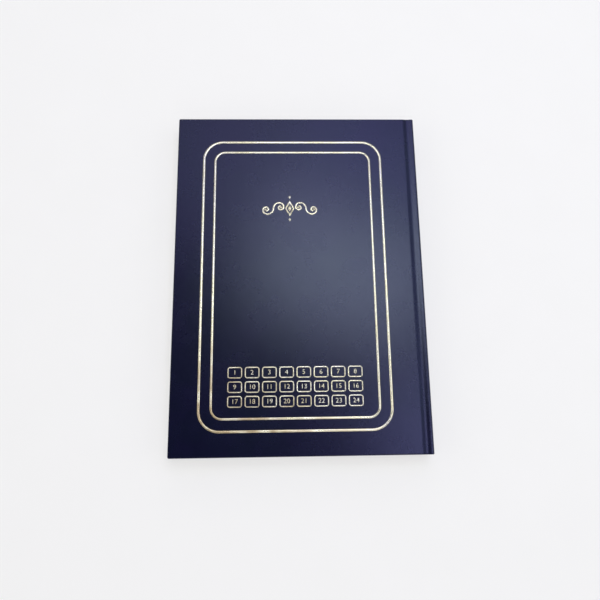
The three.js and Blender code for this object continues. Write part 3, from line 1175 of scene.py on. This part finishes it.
def lozenge(half_width, half_height, line):
    """A diamond, solid when no line width is given."""
    bm = bmesh.new()
    bmesh.ops.create_circle(bm, cap_ends=True, segments=4, radius=1.0)
    bmesh.ops.scale(bm, vec=(half_width, half_height, 1), verts=bm.verts[:])
    if line:
        hollowed(bm, line)
    return bm


scroll_radius, scroll_shrink, scroll_quarters, scroll_line = 5.4, 0.72, 6, 1.3
curl = spiral_line((0, 0), scroll_radius, scroll_shrink, scroll_quarters, scroll_line)
print("a scroll turns through", scroll_quarters * 90, "degrees in", len(curl.faces), "faces")

# %% Build the scroll ornament
ornament_centre = (-7.5, 63.0)
scroll_reach, tip_reach = 14.6, 10.6
middle_lozenges = ((4.2, 7.6, 1.2), (1.5, 2.9, 0))
tip_lozenge = (1.1, 1.6, 0)
ornament = bmesh.new()
for side in (-1, 1):
    for turn in (0, 180):
        middle_of_scroll = (ornament_centre[0] + side * scroll_reach, ornament_centre[1])
        add_to(ornament, copied(curl, turn, (side, 1, 1), middle_of_scroll))
for sizes in middle_lozenges:
    add_to(ornament, copied(lozenge(*sizes), 0, (1, 1, 1), ornament_centre))
for side in (-1, 1):
    tip_place = (ornament_centre[0], ornament_centre[1] + side * tip_reach)
    add_to(ornament, copied(lozenge(*tip_lozenge), 0, (1, 1, 1), tip_place))
curl.free()
stamped_piece(ornament, "foil_ornament")

# %% [markdown]
# ## The floor and the light
# The book lies on a plain pale floor, which glows a little where it is seen, and fades into the
# walls' tone far off, so that no horizon shows. Soft lights hang under the ceiling, where their
# mirror images fall on the middle and the edges of the cover, as in the photograph. Wide lights at
# the sides fill the rest. They hang lower, so that their mirror images don't reach the camera and
# the lower left of the cover stays dark.

# %% Floor
horizon_tone = 0.9


def floor_finish():
    finish = Finish("pale_floor")
    place = finish.node_place()
    grain = finish.noise(place, 0.02, detail=2)
    shade = finish.blend(grain, colour(238, 237, 233), colour(244, 243, 240))
    surface = finish.add("ShaderNodeBsdfDiffuse", None, {"Color": shade})
    distance = finish.add("ShaderNodeVectorMath", {"operation": "LENGTH"}, {0: place}, out=1)
    far = distance.ramp(350.0, 2000.0)
    tone = finish.blend(far, (1, 1, 1, 1), (horizon_tone, horizon_tone, horizon_tone, 1))
    glow = finish.add("ShaderNodeEmission", None, {"Color": tone, "Strength": 1.0})
    path = finish.tree.nodes.new("ShaderNodeLightPath")
    seen = Wire(finish, path.outputs["Is Camera Ray"]) + Wire(finish, path.outputs["Is Glossy Ray"])
    seen = seen + Wire(finish, path.outputs["Is Transmission Ray"])
    shares = {0: seen * (0.6 + far * 0.4), 1: surface, 2: glow}
    mixed = finish.add("ShaderNodeMixShader", None, shares)
    finish.tree.links.new(mixed.socket, finish.output.inputs["Surface"])
    return finish.material


floor_mesh = bmesh.new()
bmesh.ops.create_grid(floor_mesh, x_segments=4, y_segments=4, size=6.0)
mesh = bpy.data.meshes.new("floor")
floor_mesh.to_mesh(mesh)
floor_mesh.free()
mesh.materials.append(floor_finish())
floor = bpy.data.objects.new("floor", mesh)
bpy.context.scene.collection.objects.link(floor)
print("floor", round(floor.dimensions.x, 1), "m wide")

# %% Lamps
# Each lamp: the spot of its mirror image in mm, its width and height in m, brightness and tint.
ceiling = 1.15
ceiling_lamps = {
    "key_box": ((38, 4), 0.52, 0.33, 5.5, (0.95, 1.0, 1.0)),
    "head_box": ((-60, 120), 0.6, 0.45, 1.7, (0.7, 0.67, 1.0)),
    "corner_box": ((80, 130), 0.44, 0.33, 2.6, (0.56, 0.53, 1.0)),
    "tail_box": ((110, -140), 0.33, 0.25, 4.8, (0.68, 0.65, 1.0)),
    "side_box": ((235, 10), 1.0, 0.9, 0.8, (0.62, 0.74, 1.0)),
}
fill_height = 0.95
fill_lamps = {"left": (-1.5, -0.2), "right": (1.5, -0.1), "foot": (0.0, -1.6), "top": (0.0, 1.6)}
fill_settings = (1.2, 0.8, 1.4, (1.0, 0.97, 0.92))


def soft_light(name, place, target, width, height, brightness, tint):
    """A soft box turned to a target, in metres. At a brightness of 1 it looks as white as paper."""
    lamp = bpy.data.lights.new(name, "AREA")
    lamp.shape = "RECTANGLE"
    lamp.size = width
    lamp.size_y = height
    lamp.energy = brightness * math.pi * width * height
    lamp.color = tint
    holder = bpy.data.objects.new(name, lamp)
    holder.location = place
    ahead = Vector(target) - Vector(place)
    holder.rotation_euler = ahead.to_track_quat("-Z", "Y").to_euler()
    holder.visible_camera = False
    bpy.context.scene.collection.objects.link(holder)


def ceiling_light(name, spot, width, height, brightness, tint):
    """A soft box under the ceiling, whose mirror image falls on the given spot of the cover."""
    share = camera_place[2] * MM / (camera_place[2] * MM + ceiling)
    x, y = (MM * (c + (s - c) / share) for s, c in zip(spot, camera_place))
    target = (spot[0] * MM, spot[1] * MM, 0)
    soft_light(name, (x, y, ceiling), target, width, height, brightness, tint)


for name, settings in ceiling_lamps.items():
    ceiling_light(name, *settings)
for name, place in fill_lamps.items():
    soft_light(name + "_fill", (*place, fill_height), (0, 0, 0), *fill_settings)
print("lamps", len(ceiling_lamps) + len(fill_lamps))

# %% World
ceiling_tone = 0.05


def studio_world():
    """Pale walls near the horizon, and a dark ceiling that the cover may mirror."""
    world = bpy.data.worlds.new("studio")
    world.use_nodes = True
    tree = world.node_tree
    place = tree.nodes.new("ShaderNodeTexCoord")
    height = tree.nodes.new("ShaderNodeSeparateXYZ")
    tree.links.new(place.outputs["Generated"], height.inputs[0])
    fade = tree.nodes.new("ShaderNodeMapRange")
    fade.interpolation_type = "SMOOTHSTEP"
    limits = {"From Min": 0.0, "From Max": 0.97, "To Min": horizon_tone, "To Max": ceiling_tone}
    for socket, value in limits.items():
        fade.inputs[socket].default_value = value
    tree.links.new(height.outputs["Z"], fade.inputs["Value"])
    background = tree.nodes["Background"]
    background.inputs["Color"].default_value = (1, 1, 1, 1)
    tree.links.new(fade.outputs[0], background.inputs["Strength"])
    return world


bpy.context.scene.world = studio_world()
print("walls' tone", horizon_tone, "at the horizon and", ceiling_tone, "overhead")

# %% [markdown]
# ## Finish of the hidden nodes
# Some packed nodes keep their own shape: the two boards, the spine strip and the kraft lining. Each
# gets the finish of its real material.

# %% Finish of the hidden nodes
def simple_finish(name, dark, light, scale, roughness, stretch=(1, 1, 1)):
    """A matt material with grain of the given size, for a packed node."""
    finish = Finish(name)
    place = finish.node_place()
    grain = finish.noise(place, scale, detail=5, roughness=0.65, stretch=stretch)
    shade = finish.blend(grain.ramp(0.3, 0.7), dark, light)
    relief = finish.bump(grain, 0.05, 0.7)
    return finish.surface(Base_Color=shade, Roughness=roughness, Normal=relief)


pale_grey, mid_grey = colour(158, 151, 140), colour(134, 126, 114)
pale_brown, mid_brown = colour(176, 138, 98), colour(150, 112, 76)
finishes = {
    "greyboard": simple_finish("pressed_greyboard", mid_grey, pale_grey, 2.6, 0.95, (1, 1, 3)),
    "kraft_lining": simple_finish("brown_kraft", mid_brown, pale_brown, 0.8, 0.85, (1, 0.2, 1)),
}
slots = {part["node"]: part["material_slot"] for part in frame["record"]["subparts"]}
for name, node in frame["nodes"].items():
    if slots[name] in finishes and not node.hide_render:
        node.data.materials.clear()
        node.data.materials.append(finishes[slots[name]])
print("nodes kept", sum(not n.hide_render for n in frame["nodes"].values()))

# %% [markdown]
# ## The size
# The dressed book has to stay as large as the packed one.
